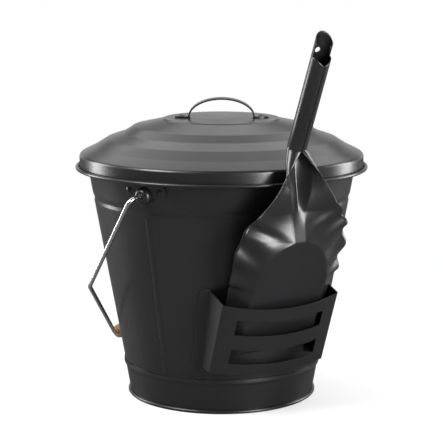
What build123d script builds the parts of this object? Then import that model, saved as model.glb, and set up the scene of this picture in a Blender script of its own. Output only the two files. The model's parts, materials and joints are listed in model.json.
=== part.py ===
from build123d import *
import os
from math import asin, atan, atan2, cos, degrees, hypot, pi, radians, sin, sqrt

# An ash bucket with a lid, a swinging bail, a shovel pocket and a pressed shovel.
# Millimetres and degrees. Origin at the centre of the base, +Z up, bail axis along X.
os.makedirs("parts", exist_ok=True)

# Sheet steel and the gaps between pieces
SHEET = 1.0
SEAT = 0.2
LOOSE = 0.4
PIN_CLEARANCE = 0.1

# Bucket body: radii of the outer face
RIM_RADIUS = 175.0
LEDGE_WIDTH = 15.4
LEDGE_HEIGHT = 274.4
BASE_RADIUS = 110.2
LEDGE_BEND = 3.0
RIM_BEAD = 2.1
BEAD_WRAP = 290
GROOVE_BELOW_LEDGE = 32.9
GROOVE_WIDTH = 10.0
GROOVE_DEPTH = 1.2
GROOVE_BLEND = 6.0

# Foot ring, and the floor pan that stands inside it
RING_TOP = 42.0
RING_BEAD_HEIGHT = 38.0
RING_BEAD_RAISE = 1.5
RING_BEAD_WIDTH = 6.0
RING_STAND_OUT = 0.5
FOOT_BEAD = 2.1
FOOT_FLAT = 0.25
FLOOR_HEIGHT = 36.0
FLOOR_FLANGE = 11.0
FLOOR_BEND = 2.5

# Lid: the skirt stands inside the rim bead
LID_CLEARANCE = 0.8
SKIRT_HEIGHT = 16.5
SHOULDER_BEND = 5.0
STEP_BEND = 7.0
OUTER_BAND = 18.0
OUTER_RISE = 8.8
LOWER_STEP = 15.0
LOWER_STEP_RISE = 9.4
MIDDLE_BAND = 20.0
MIDDLE_RISE = 6.8
UPPER_STEP = 12.0
UPPER_STEP_RISE = 7.8
TOP_BAND = 34.0
TOP_RISE = 7.4
CROWN_STEP = 2.0
CROWN_STEP_RISE = 1.5
CROWN_BEND = 1.2

# Lid handle: a strap bent into an arch, with a riveted foot at each end
LID_TURN = -57.0
STRAP_SPAN = 76.0
STRAP_RISE = 25.0
STRAP_WIDTH = 19.0
STRAP_THICK = 1.8
STRAP_FOOT = 19.0

# Rivets
RIVET_RADIUS = 2.4
RIVET_HEAD = 4.4
RIVET_HEAD_HEIGHT = 1.8
RIVET_TAIL = 3.6
RIVET_TAIL_HEIGHT = 1.2

# Bail ears
EAR_BELOW_LEDGE = 14.4
EAR_THICK = 1.4
EAR_LENGTH = 58.0
EAR_PLATE_HEIGHT = 14.0
EAR_PLATE_LIFT = 5.0
EAR_LOBE = 12.0
EAR_RIVET_SPACING = 42.0
DOME_RADIUS = 10.0
DOME_STAND = 9.5
DOME_CROWN = 6.0

# Bail: one bent wire with a turned wooden grip
WIRE_RADIUS = 2.5
BAIL_PAST_RIM = 9.5
BAIL_LEG_IN = 18.5
BAIL_LEG_DROP = 133.0
BAIL_GRIP_DROP = 106.0
BAIL_GRIP_ROOM = 6.0
BAIL_TOP_RADIUS = 9.0
BAIL_CORNER_RADIUS = 12.0
BAIL_GRIP_RADIUS = 8.0
WIRE_HEAD = 4.2
WIRE_HEAD_THICK = 2.5
GRIP_LENGTH = 72.0
GRIP_END_RADIUS = 8.4
GRIP_RADIUS = 10.0
GRIP_ROUND = 1.8
GRIP_GAP = 0.5

# Shovel pocket: a slotted panel, bowed outwards, with flanges back to the wall
POCKET_DIRECTION = -120.0
POCKET_SHEET = 1.2
PANEL_HALF = 74.4
PANEL_BOTTOM = 49.4
PANEL_TOP = 132.8
PANEL_BOTTOM_OUT = 126.2
PANEL_TOP_OUT = 160.4
PANEL_BOW = 12.6
PANEL_BOTTOM_LIFT = 7.2
PANEL_TOP_LIFT = 10.8
FLANGE_TOP_RISE = 11.6
FLANGE_BOTTOM_RISE = 2.8
POCKET_FOOT = 13.0
SLOT_HALF = 55.6
LOWER_SLOT = 62.2
UPPER_SLOT = 99.0
SLOT_HEIGHT = 18.3
SLOT_LIFT = 5.2

# Shovel: one pressed sheet, pleated round the heel and rolled into its handle
SHOVEL_SHEET = 1.2
SHOVEL_LEAN = 24.5
SHOVEL_TURN = 2.5
SHOVEL_TILT = -1.5
SHOVEL_TIP_HEIGHT = 78.0
SHOVEL_TIP_GAP = 0.45
SHOVEL_SHIFT = 5.0
FLOOR_LENGTH = 148.0
FLOOR_HALF = 47.0
FLOOR_ARCH = 60.0
TIP_HALF = 50.0
TIP_DEPTH = 3.0
RIM_HALF = 67.0
RIM_DEPTH = 18.5
RIM_SWELL = 2.5
CHEEK_LENGTH = 60.0
PLEATS = 4
PLEAT_START = 84.0
PLEAT_PITCH = 20.0
PLEAT_RAISE = 3.2
HEEL_RIM = 163.0
HEEL_HALF = 63.0
NECK_RIM = 217.0
NECK_HALF = 25.0
RIDGE_SLOPE = 0.622
RIDGE_HALF = 7.0
FLOOR_SHARE = 0.5
NECK_END = 243.0
TUBE_RADIUS = 11.0
TUBE_SLOPE = 0.04
SEAM_GAP = 0.8
MOUTH = 350.6
MOUTH_RISE = 7.0
TONGUE_TOP = 383.0
TONGUE_CUT = 1.5
HANG_HOLE = 360.5
HANG_HOLE_RADIUS = 3.2
STEPS = 9

# Worked out from the sizes above
GROOVE_HEIGHT = LEDGE_HEIGHT - GROOVE_BELOW_LEDGE
EAR_HEIGHT = LEDGE_HEIGHT - EAR_BELOW_LEDGE
BAIL_OUT = RIM_RADIUS + BAIL_PAST_RIM
BAIL_CORNER = BAIL_OUT - BAIL_LEG_IN
BAIL_DROP = BAIL_LEG_DROP + BAIL_GRIP_DROP
BAIL_GRIP_BEND = GRIP_LENGTH / 2 + BAIL_GRIP_ROOM
SLOPE = (RIM_RADIUS - LEDGE_WIDTH - BASE_RADIUS) / LEDGE_HEIGHT
TAPER = degrees(atan(SLOPE))
BEAD_CENTRE = (RIM_RADIUS - RIM_BEAD, LEDGE_HEIGHT + RIM_BEAD)
LID_RADIUS = RIM_RADIUS - 2 * RIM_BEAD - LID_CLEARANCE
SKIRT_BOTTOM = LEDGE_HEIGHT + SHEET + LOOSE
TUBE_MIDDLE = TUBE_RADIUS - SHOVEL_SHEET / 2


def wall_radius(z):
    """Outer radius of the bucket's wall at height z."""
    return BASE_RADIUS + SLOPE * z


def facing(angle):
    """Unit vector that points away from the axis at an angle from +X."""
    return Vector(cos(radians(angle)), sin(radians(angle)), 0)


def left_of(start, end):
    """Unit vector to the left of the way from start to end."""
    run = hypot(end[0] - start[0], end[1] - start[1])
    return (-(end[1] - start[1]) / run, (end[0] - start[0]) / run)


def sheet_face(points, bends, thickness, bead=0.0):
    """Outline of a bent sheet to the left of its points, with a rolled bead at its end."""
    sides = [left_of(a, b) for a, b in zip(points, points[1:])]
    moved = [(points[0][0] + sides[0][0] * thickness, points[0][1] + sides[0][1] * thickness)]
    inner_bends = []
    for point, before, after, bend in zip(points[1:-1], sides, sides[1:], bends):
        share = thickness / (1 + before[0] * after[0] + before[1] * after[1])
        moved.append((point[0] + (before[0] + after[0]) * share, point[1] + (before[1] + after[1]) * share))
        turn = before[0] * after[1] - before[1] * after[0]
        inner_bends.append(bend - thickness if turn > 0 else bend + thickness)
    moved.append((points[-1][0] + sides[-1][0] * thickness, points[-1][1] + sides[-1][1] * thickness))
    near = FilletPolyline(*points, radius=list(bends))
    far = FilletPolyline(*moved, radius=inner_bends)
    face = make_face(near + Line(near @ 1, far @ 1) + far + Line(far @ 0, near @ 0))
    if bead:
        centre = (points[-1][0] + sides[-1][0] * bead, points[-1][1] + sides[-1][1] * bead)
        start = degrees(atan2(-sides[-1][1], -sides[-1][0]))
        outer = CenterArc(centre, bead, start, BEAD_WRAP)
        inner = CenterArc(centre, bead - thickness, start, BEAD_WRAP)
        face += make_face(outer + Line(outer @ 1, inner @ 1) + inner + Line(inner @ 0, outer @ 0))
    return face


def turned(face):
    """Body of revolution from a face drawn in radius and height."""
    return revolve(Plane.XZ * face, Axis.Z)


def wall_plane(angle, height, stand_off=0.0):
    """Plane on the wall whose normal points straight out of the sheet."""
    out = facing(angle)
    normal = out * cos(radians(TAPER)) - Vector(0, 0, 1) * sin(radians(TAPER))
    foot = out * wall_radius(height) + Vector(0, 0, height)
    return Plane(foot + normal * stand_off, x_dir=Vector(0, 0, 1).cross(out), z_dir=normal)


def wall_cone(stand_off):
    """Solid cone that is the wall's outer face, moved out by stand_off."""
    out = stand_off / cos(radians(TAPER))
    low = wall_radius(0) + out
    high = wall_radius(LEDGE_HEIGHT) + out
    outline = Polyline((0, 0), (low, 0), (high, LEDGE_HEIGHT), (0, LEDGE_HEIGHT), close=True)
    return Rot(0, 0, 180) * turned(make_face(outline))


def rivet(grip):
    """Rivet whose head seats on z = 0 and whose tail closes below the grip."""
    seat = SEAT / 2
    end = -grip - seat
    top = seat + RIVET_HEAD_HEIGHT
    sphere = (RIVET_HEAD**2 + RIVET_HEAD_HEIGHT**2) / (2 * RIVET_HEAD_HEIGHT)
    middle = (RIVET_HEAD / 2, top - sphere + sqrt(sphere**2 - RIVET_HEAD**2 / 4))
    dome = ThreePointArc((RIVET_HEAD, seat), middle, (0, top))
    outline = Polyline(
        (0, top),
        (0, end - RIVET_TAIL_HEIGHT),
        (RIVET_TAIL, end - RIVET_TAIL_HEIGHT),
        (RIVET_TAIL, end),
        (RIVET_RADIUS, end),
        (RIVET_RADIUS, seat),
        (RIVET_HEAD, seat),
    )
    return turned(make_face(dome + outline))


def rivet_hole(depth):
    return Cylinder(RIVET_RADIUS + PIN_CLEARANCE, depth)


def ring_inner(z):
    """Inner radius of the foot ring below its bead."""
    return wall_radius(z) + RING_STAND_OUT - SHEET


def make_bucket_wall():
    """Cone of sheet, stepped in at the foot and rolled out over a wire at the rim."""
    tuck = SHEET + SEAT
    low = FLOOR_HEIGHT - FLOOR_FLANGE + SEAT
    joggle = FLOOR_HEIGHT - SEAT
    half = GROOVE_WIDTH / 2
    points = [
        (ring_inner(low) - SEAT, low),
        (ring_inner(joggle) - SEAT, joggle),
        (wall_radius(RING_TOP), RING_TOP),
        (wall_radius(GROOVE_HEIGHT - half), GROOVE_HEIGHT - half),
        (wall_radius(GROOVE_HEIGHT) - GROOVE_DEPTH, GROOVE_HEIGHT),
        (wall_radius(GROOVE_HEIGHT + half), GROOVE_HEIGHT + half),
        (wall_radius(LEDGE_HEIGHT), LEDGE_HEIGHT),
        (BEAD_CENTRE[0], LEDGE_HEIGHT),
    ]
    bends = [tuck, tuck, GROOVE_BLEND, GROOVE_BLEND, GROOVE_BLEND, LEDGE_BEND]
    wall = turned(sheet_face(points, bends, SHEET, RIM_BEAD))
    for side in (180, 0):
        for plane in ear_rivet_planes(side):
            wall -= plane * rivet_hole(4 * (SHEET + EAR_THICK))
    return wall


def make_rim_wire():
    wire = Pos(*BEAD_CENTRE) * Circle(RIM_BEAD - SHEET - PIN_CLEARANCE)
    return turned(wire)


def make_foot_ring():
    """Ring whose lower edge is rolled out, and whose upper edge is a raised bead."""
    half = RING_BEAD_WIDTH / 2
    seat = wall_radius(RING_TOP) + SEAT
    crest = wall_radius(RING_BEAD_HEIGHT) + RING_BEAD_RAISE - SHEET + RING_STAND_OUT
    low = FOOT_BEAD - FOOT_FLAT + FOOT_BEAD * sin(radians(TAPER))
    points = [
        (seat, RING_TOP),
        (crest, RING_BEAD_HEIGHT),
        (ring_inner(RING_BEAD_HEIGHT - half), RING_BEAD_HEIGHT - half),
        (ring_inner(low), low),
    ]
    ring = turned(sheet_face(points, [SHEET * 1.3, SHEET * 1.3], SHEET, FOOT_BEAD))
    return ring - Pos(0, 0, -FOOT_BEAD) * Cylinder(2 * BASE_RADIUS, 2 * FOOT_BEAD)


def make_floor_pan():
    """Flat floor with a flange turned down inside the foot of the wall."""
    inset = 2 * SEAT + SHEET
    low = FLOOR_HEIGHT - FLOOR_FLANGE
    points = [
        (ring_inner(low) - inset, low),
        (ring_inner(FLOOR_HEIGHT) - inset, FLOOR_HEIGHT),
        (0, FLOOR_HEIGHT),
    ]
    return turned(sheet_face(points, [FLOOR_BEND], SHEET))


def lid_outline():
    """Outer face of the lid from the skirt to the middle, as points."""
    points = [(LID_RADIUS, SKIRT_BOTTOM), (LID_RADIUS, SKIRT_BOTTOM + SKIRT_HEIGHT)]
    steps = [
        (OUTER_BAND, OUTER_RISE),
        (LOWER_STEP, LOWER_STEP_RISE),
        (MIDDLE_BAND, MIDDLE_RISE),
        (UPPER_STEP, UPPER_STEP_RISE),
        (TOP_BAND, TOP_RISE),
        (CROWN_STEP, CROWN_STEP_RISE),
    ]
    for inwards, rise in steps:
        radius, height = points[-1]
        points.append((radius - inwards, height + rise))
    points.append((0, points[-1][1]))
    return points


LID_POINTS = lid_outline()
LID_TOP = LID_POINTS[-1][1]
STRAP_SEAT = LID_TOP + SEAT


def handle_rivets_at():
    """Planes of the two handle rivets on the lid, before the lid is turned."""
    distance = STRAP_SPAN / 2 + STRAP_FOOT * 0.5
    return [Plane((side * distance, 0, STRAP_SEAT + STRAP_THICK)) for side in (-1, 1)]


def make_lid_shell():
    bends = [SHOULDER_BEND] + [STEP_BEND] * 4 + [CROWN_BEND] * 2
    lid = turned(sheet_face(LID_POINTS, bends, SHEET))
    for plane in handle_rivets_at():
        lid -= plane * rivet_hole(4 * (SHEET + STRAP_THICK))
    return Rot(0, 0, LID_TURN) * lid


def make_lid_handle():
    """Strap bent into an arch, with leaf-shaped feet that lie on the lid."""
    half = STRAP_SPAN / 2
    foot = STRAP_SEAT
    outer = Pos(0, foot) * Ellipse(half + STRAP_THICK, STRAP_RISE)
    inner = Pos(0, foot) * Ellipse(half, STRAP_RISE - STRAP_THICK)
    band = (outer - inner) & Pos(0, foot + STRAP_RISE) * Rectangle(3 * half, 2 * STRAP_RISE)
    middle = half + STRAP_FOOT / 2
    flat = Rectangle(STRAP_FOOT, STRAP_THICK)
    feet = [Pos(side * middle, foot + STRAP_THICK / 2) * flat for side in (-1, 1)]
    strap = extrude(Plane.XZ * (band + feet), STRAP_WIDTH / 2, both=True)
    leaf = Ellipse(STRAP_FOOT, STRAP_WIDTH / 2)
    plan = Rectangle(2 * half, STRAP_WIDTH) + Pos(half, 0) * leaf + Pos(-half, 0) * leaf
    strap &= extrude(plan, 2 * LID_TOP)
    for plane in handle_rivets_at():
        strap -= plane * rivet_hole(4 * (SHEET + STRAP_THICK))
    return Rot(0, 0, LID_TURN) * strap


def make_lid_rivets():
    grip = SEAT + STRAP_THICK + SHEET
    return Compound([Rot(0, 0, LID_TURN) * (plane * rivet(grip)) for plane in handle_rivets_at()])


def ear_rivet_planes(side):
    """Planes on the outside of an ear's plate where its two rivets sit."""
    height = EAR_HEIGHT + EAR_PLATE_LIFT
    turn = degrees(asin(EAR_RIVET_SPACING / 2 / wall_radius(height)))
    return [wall_plane(side + way * turn, height, SEAT + EAR_THICK) for way in (-1, 1)]


def domed_post(radius, start, end, crown):
    """Round post along +X with a rounded outer end."""
    rod = Cylinder(radius, end - start, align=(Align.CENTER, Align.CENTER, Align.MIN))
    post = Pos(start, 0, 0) * Rot(0, 90, 0) * rod
    return fillet(post.edges().filter_by(GeomType.CIRCLE).sort_by(Axis.X)[-1], crown)


def make_ear(side):
    """Stamped plate on the wall with a hollow dome that holds the wire's end."""
    lift = EAR_PLATE_LIFT
    outline = Pos(0, lift) * RectangleRounded(EAR_LENGTH, EAR_PLATE_HEIGHT, EAR_PLATE_HEIGHT * 0.45)
    outline += Circle(EAR_LOBE)
    reach = 1.2 * RIM_RADIUS
    prism = extrude(Plane((0, 0, EAR_HEIGHT), x_dir=(0, 1, 0), z_dir=(1, 0, 0)) * outline, reach)
    plate = (wall_cone(SEAT + EAR_THICK) & prism) - wall_cone(SEAT)
    face = wall_radius(EAR_HEIGHT)
    top = face + DOME_STAND
    base = face - DOME_STAND
    dome = domed_post(DOME_RADIUS, base, top, DOME_CROWN)
    hollow = domed_post(DOME_RADIUS - EAR_THICK, base - EAR_THICK, top - EAR_THICK, DOME_CROWN - EAR_THICK)
    lift_up = Pos(0, 0, EAR_HEIGHT)
    ear = (plate + lift_up * dome) - wall_cone(SEAT) - lift_up * hollow
    bore = Rot(0, 90, 0) * Cylinder(WIRE_RADIUS + PIN_CLEARANCE, 2 * (top + DOME_STAND))
    half = Pos(reach, 0, 0) * Box(2 * reach, 4 * DOME_RADIUS, 4 * DOME_RADIUS)
    ear -= lift_up * (bore & half)
    ear = Rot(0, 0, side) * ear
    for plane in ear_rivet_planes(side):
        ear -= plane * rivet_hole(4 * (SHEET + EAR_THICK))
    return ear


def make_ear_rivets(side):
    return Compound([plane * rivet(EAR_THICK + SEAT + SHEET) for plane in ear_rivet_planes(side)])


def bail_angle():
    """Angle from straight down at which the grip comes to rest on the wall."""
    reach = BASE_RADIUS + SLOPE * EAR_HEIGHT + (GRIP_RADIUS + GRIP_GAP) / cos(radians(TAPER))
    return degrees(asin(reach * cos(radians(TAPER)) / BAIL_DROP)) - TAPER


def bail_plane():
    """Plane of the bail at rest: x along the ears' axis, y down towards the grip."""
    angle = radians(bail_angle())
    down = Vector(0, sin(angle), -cos(angle))
    return Plane((0, 0, EAR_HEIGHT), x_dir=(1, 0, 0), z_dir=Vector(1, 0, 0).cross(down))


def make_bail_wire():
    """Wire with a straight middle for the grip, two corners and a headed end each side."""
    head_at = wall_radius(EAR_HEIGHT) + SEAT + WIRE_HEAD_THICK / 2 + SLOPE * WIRE_HEAD
    half = [(head_at, 0), (BAIL_OUT, 0), (BAIL_CORNER, BAIL_LEG_DROP), (BAIL_GRIP_BEND, BAIL_DROP)]
    points = [(-x, y) for x, y in half] + half[::-1]
    bends = [BAIL_TOP_RADIUS, BAIL_CORNER_RADIUS, BAIL_GRIP_RADIUS]
    path = bail_plane() * FilletPolyline(*points, radius=bends + bends[::-1])
    section = Plane(path @ 0, z_dir=path % 0) * Circle(WIRE_RADIUS)
    wire = sweep(section, path=path)
    for side in (-1, 1):
        head = Pos(side * head_at, 0, EAR_HEIGHT) * Rot(0, 90, 0) * Cylinder(WIRE_HEAD, WIRE_HEAD_THICK)
        wire += head
    return wire


def make_bail_grip():
    """Turned wooden grip, fuller in the middle, bored for the wire."""
    half = GRIP_LENGTH / 2
    swell = ThreePointArc((-half, GRIP_END_RADIUS), (0, GRIP_RADIUS), (half, GRIP_END_RADIUS))
    sides = Polyline((half, GRIP_END_RADIUS), (half, 0), (-half, 0), (-half, GRIP_END_RADIUS))
    grip = revolve(make_face(swell + sides), Axis.X)
    ends = grip.edges().filter_by(GeomType.CIRCLE)
    grip = fillet(ends, GRIP_ROUND)
    grip -= Rot(0, 90, 0) * Cylinder(WIRE_RADIUS + LOOSE, 2 * GRIP_LENGTH)
    centre = bail_plane() * Pos(0, BAIL_DROP, 0)
    return Pos(*centre.position) * grip


def arc_band(low, half, height, lift):
    """Face with bowed lower and upper edges, seen from the front of the pocket."""
    lower = ThreePointArc((-half, low + lift), (0, low), (half, low + lift))
    upper = ThreePointArc((half, low + lift + height), (0, low + height), (-half, low + lift + height))
    return make_face(lower + Line(lower @ 1, upper @ 0) + upper + Line(upper @ 1, lower @ 0))


PANEL_LEAN = (PANEL_TOP_OUT - PANEL_BOTTOM_OUT) / (PANEL_TOP - PANEL_BOTTOM)


def pocket_core(inset, reach):
    """Solid inside the pocket's outer face, or inside its inner face when inset."""
    half = PANEL_HALF - inset
    front = PANEL_BOTTOM_OUT - PANEL_LEAN * PANEL_BOTTOM - inset
    arc = ThreePointArc((front - PANEL_BOW, -half), (front, 0), (front - PANEL_BOW, half))
    back = front - BASE_RADIUS - PANEL_BOW
    edge = front - PANEL_BOW
    outline = make_face(arc + Polyline((edge, half), (back, half), (back, -half), (edge, -half)))
    core = extrude(outline, hypot(PANEL_LEAN, 1) * reach, dir=(PANEL_LEAN, 0, 1))
    corners = core.edges().filter_by(GeomType.LINE).group_by(SortBy.LENGTH)[-1].sort_by(Axis.X)[-2:]
    return fillet(corners, 2.5 * POCKET_SHEET - inset)


def pocket_trim(low, lift, rise, run, way):
    """Cutter above or below a bowed edge that climbs back towards the wall."""
    half = 2 * PANEL_HALF
    far = lift * 4
    edge = ThreePointArc((-half, low + far), (0, low), (half, low + far))
    end = low + way * RIM_RADIUS
    sides = Polyline((half, low + far), (half, end), (-half, end), (-half, low + far))
    face = make_face(edge + sides)
    direction = Vector(-run, 0, rise).normalized()
    start = Plane((PANEL_TOP_OUT * 1.3, 0, 0), x_dir=(0, 1, 0), z_dir=(1, 0, 0))
    drop = rise / run * (PANEL_TOP_OUT * 1.3 - (PANEL_BOTTOM_OUT + PANEL_LEAN * (low - PANEL_BOTTOM)))
    return extrude(Pos(0, 0, -drop) * (start * face), RIM_RADIUS * 1.6, dir=direction)


def flange_run(height):
    """Distance from the panel's edge back to the wall at a height."""
    panel = PANEL_BOTTOM_OUT + PANEL_LEAN * (height - PANEL_BOTTOM) - PANEL_BOW
    return panel - sqrt(wall_radius(height) ** 2 - PANEL_HALF**2)


def make_shovel_pocket():
    """Slotted panel, two flanges and two feet that are spot welded to the wall."""
    shell = pocket_core(0, RIM_RADIUS) - pocket_core(POCKET_SHEET, RIM_RADIUS)
    top_run = flange_run(PANEL_TOP + PANEL_TOP_LIFT)
    low_run = flange_run(PANEL_BOTTOM + PANEL_BOTTOM_LIFT)
    top_lift = PANEL_TOP_LIFT - PANEL_BOW * FLANGE_TOP_RISE / top_run
    low_lift = PANEL_BOTTOM_LIFT - PANEL_BOW * FLANGE_BOTTOM_RISE / low_run
    shell -= pocket_trim(PANEL_TOP, top_lift, FLANGE_TOP_RISE, top_run, 1)
    shell -= pocket_trim(PANEL_BOTTOM, low_lift, FLANGE_BOTTOM_RISE, low_run, -1)
    front = Plane((PANEL_TOP_OUT * 1.3, 0, 0), x_dir=(0, 1, 0), z_dir=(1, 0, 0))
    for low in (LOWER_SLOT, UPPER_SLOT):
        slot = front * arc_band(low, SLOT_HALF, SLOT_HEIGHT, SLOT_LIFT)
        shell -= extrude(slot, -PANEL_TOP_OUT * 0.6)
    foot_low = PANEL_BOTTOM + PANEL_BOTTOM_LIFT + FLANGE_BOTTOM_RISE
    foot_high = PANEL_TOP + PANEL_TOP_LIFT + FLANGE_TOP_RISE
    middle = (foot_low + foot_high) / 2
    width = POCKET_FOOT * sqrt(1 - (PANEL_HALF / wall_radius(middle)) ** 2)
    sheet = wall_cone(SEAT + POCKET_SHEET) - wall_cone(SEAT)
    for way in (-1, 1):
        strip = RectangleRounded(2 * width, foot_high - foot_low, width * 0.6)
        strip &= Pos(way * width, 0) * Rectangle(2 * width, foot_high)
        outline = front * (Pos(way * (PANEL_HALF - POCKET_SHEET), middle) * strip)
        shell += sheet & extrude(outline, -PANEL_TOP_OUT)
    shell -= wall_cone(SEAT)
    shell = max(shell.solids(), key=lambda solid: solid.volume)
    return Rot(0, 0, POCKET_DIRECTION) * shell


def smooth(value):
    value = min(max(value, 0), 1)
    return value * value * (3 - 2 * value)


def along(position, points):
    """Straight-line reading between points of position and value."""
    if position <= points[0][0]:
        return points[0][1]
    for (x0, y0), (x1, y1) in zip(points, points[1:]):
        if position <= x1:
            return y0 + (y1 - y0) * (position - x0) / (x1 - x0)
    return points[-1][1]


def ridge_depth(position):
    """Depth of the middle of the back, from the end of the floor to the tube."""
    if position <= NECK_END:
        return RIDGE_SLOPE * max(position - FLOOR_LENGTH, 0)
    return RIDGE_SLOPE * (NECK_END - FLOOR_LENGTH) - TUBE_SLOPE * (position - NECK_END)


def floor_half(position):
    """Half width of the flat floor, which ends in a half ellipse at the heel."""
    into = (position - (FLOOR_LENGTH - FLOOR_ARCH)) / FLOOR_ARCH
    if into <= 0:
        return FLOOR_HALF
    return max(FLOOR_HALF * sqrt(max(1 - into * into, 0)), RIDGE_HALF)


FORM_START = FLOOR_LENGTH + 8.0


RIM_LINE = [
    (0, TIP_HALF),
    (CHEEK_LENGTH, RIM_HALF),
    (FLOOR_LENGTH - CHEEK_LENGTH / 4, RIM_HALF + RIM_SWELL),
    (HEEL_RIM, HEEL_HALF),
    (NECK_RIM, NECK_HALF),
    (NECK_END, 0),
]


def sheet_middle(position, pleat):
    """Middle line of the sheet across the shovel, as points of width and depth."""
    rim = along(position, RIM_LINE)
    depth = along(position, [(0, TIP_DEPTH), (CHEEK_LENGTH, RIM_DEPTH)])
    centre = min(ridge_depth(position), depth)
    far = ridge_depth(position)
    form = smooth((position - FORM_START) / (NECK_END - FORM_START))
    floor = min(floor_half(position), rim * FLOOR_SHARE)
    if position < FLOOR_LENGTH:
        floor = floor_half(position)
    points = []
    for step in range(-STEPS, STEPS + 1):
        share = abs(step) / STEPS
        way = 1 if step >= 0 else -1
        out = max(share - FLOOR_SHARE, 0) / (1 - FLOOR_SHARE)
        width = floor * min(share / FLOOR_SHARE, 1) + (rim - floor + pleat) * out
        drop = centre + (depth - centre - pleat) * out
        turn = pi * share * (1 - SEAM_GAP / (2 * pi * TUBE_MIDDLE))
        tube_width = TUBE_MIDDLE * sin(turn)
        tube_drop = far - TUBE_MIDDLE * (1 - cos(turn))
        middle_drop = (1 - form) * centre + form * far
        lift = (far - middle_drop) * (1 - share) ** 2
        points.append((way * (width + form * tube_width), (1 - form) * drop + form * tube_drop + lift))
    return points


def sheet_section(position, pleat):
    """Closed outline of the sheet, half its thickness to each side of the middle."""
    middle = sheet_middle(position, pleat)
    sides = [[], []]
    for index, (x, y) in enumerate(middle):
        before = middle[max(index - 1, 0)]
        after = middle[min(index + 1, len(middle) - 1)]
        run = hypot(after[0] - before[0], after[1] - before[1])
        across = (-(after[1] - before[1]) / run, (after[0] - before[0]) / run)
        for way, side in zip((-1, 1), sides):
            shift = way * SHOVEL_SHEET / 2
            side.append((x + across[0] * shift, y + across[1] * shift))
    outline = [(x, y, position) for x, y in sides[0] + sides[1][::-1]]
    return Wire(Polyline(*outline, close=True).edges())


def shovel_stations():
    """Places along the shovel, with how far the pleats stand out at each."""
    stations = [(0, 0), (CHEEK_LENGTH / 2, 0), (CHEEK_LENGTH, 0)]
    for fold in range(2 * PLEATS + 1):
        stations.append((PLEAT_START + fold * PLEAT_PITCH / 2, PLEAT_RAISE * (fold % 2)))
    start = stations[-1][0]
    count = 13
    for number in range(1, count + 1):
        stations.append((start + (NECK_END - start) * number / count, 0))
    return stations + [(MOUTH - 6, 0), (TONGUE_TOP, 0)]


def shovel_plane():
    """Plane at the tip's middle: x to the right, y towards the bucket, z up the shovel."""
    out = facing(POCKET_DIRECTION + SHOVEL_TURN)
    side = Vector(0, 0, 1).cross(out)
    lean = radians(SHOVEL_LEAN)
    up = out * sin(lean) + Vector(0, 0, 1) * cos(lean)
    tilt = radians(SHOVEL_TILT)
    leant = up * cos(tilt) + side * sin(tilt)
    across = side * cos(tilt) - up * sin(tilt)
    away = wall_radius(SHOVEL_TIP_HEIGHT) + SHOVEL_TIP_GAP + SHOVEL_SHEET / 2
    foot = facing(POCKET_DIRECTION) * away + side * SHOVEL_SHIFT + Vector(0, 0, SHOVEL_TIP_HEIGHT)
    return Plane(foot, x_dir=across, z_dir=leant)


def make_shovel():
    sections = [sheet_section(position, pleat) for position, pleat in shovel_stations()]
    body = Solid.make_loft(sections, ruled=True)
    size = 4 * TUBE_RADIUS
    axis = ridge_depth(MOUTH) - TUBE_MIDDLE
    high = MOUTH + MOUTH_RISE * size / TUBE_RADIUS
    far = 2 * MOUTH
    mouth = Polyline((0, MOUTH), (size, high), (size, far), (-size, far), (-size, high), close=True)
    front = Plane((0, axis - TONGUE_CUT, 0), x_dir=(1, 0, 0), z_dir=(0, -1, 0))
    body -= extrude(front * make_face(mouth), size)
    top = Pos(0, TONGUE_TOP) * Rectangle(size, 2 * TUBE_RADIUS)
    top -= Pos(0, TONGUE_TOP - TUBE_RADIUS) * Circle(TUBE_RADIUS)
    side = Plane((0, axis, 0), x_dir=(1, 0, 0), z_dir=(0, -1, 0))
    body -= extrude(side * top, size, both=True)
    hole = side * (Pos(0, HANG_HOLE) * Circle(HANG_HOLE_RADIUS))
    body -= extrude(hole, -size)
    body = max(body.solids(), key=lambda solid: solid.volume)
    return shovel_plane().location * body


NODES = {
    "bucket_wall": make_bucket_wall,
    "rim_wire": make_rim_wire,
    "foot_ring": make_foot_ring,
    "floor_pan": make_floor_pan,
    "ear_left": lambda: make_ear(180),
    "ear_right": lambda: make_ear(0),
    "ear_left_rivets": lambda: make_ear_rivets(180),
    "ear_right_rivets": lambda: make_ear_rivets(0),
    "shovel_pocket": make_shovel_pocket,
    "bail_wire": make_bail_wire,
    "bail_grip": make_bail_grip,
    "lid_shell": make_lid_shell,
    "lid_handle": make_lid_handle,
    "lid_handle_rivets": make_lid_rivets,
    "shovel": make_shovel,
}
for node, maker in NODES.items():
    export_step(maker(), f"parts/{node}.step")
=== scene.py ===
# %% [markdown]
# # An ash bucket, dressed for the camera
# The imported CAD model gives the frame: every piece below is made in metres in that
# same frame, so nothing has to be fitted by eye. The bucket stands on z = 0.

# %% Load the frame
import json
from math import atan2, cos, degrees, hypot, pi, radians, sin, sqrt

import bmesh
import bpy
from mathutils import Matrix, Vector


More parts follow.
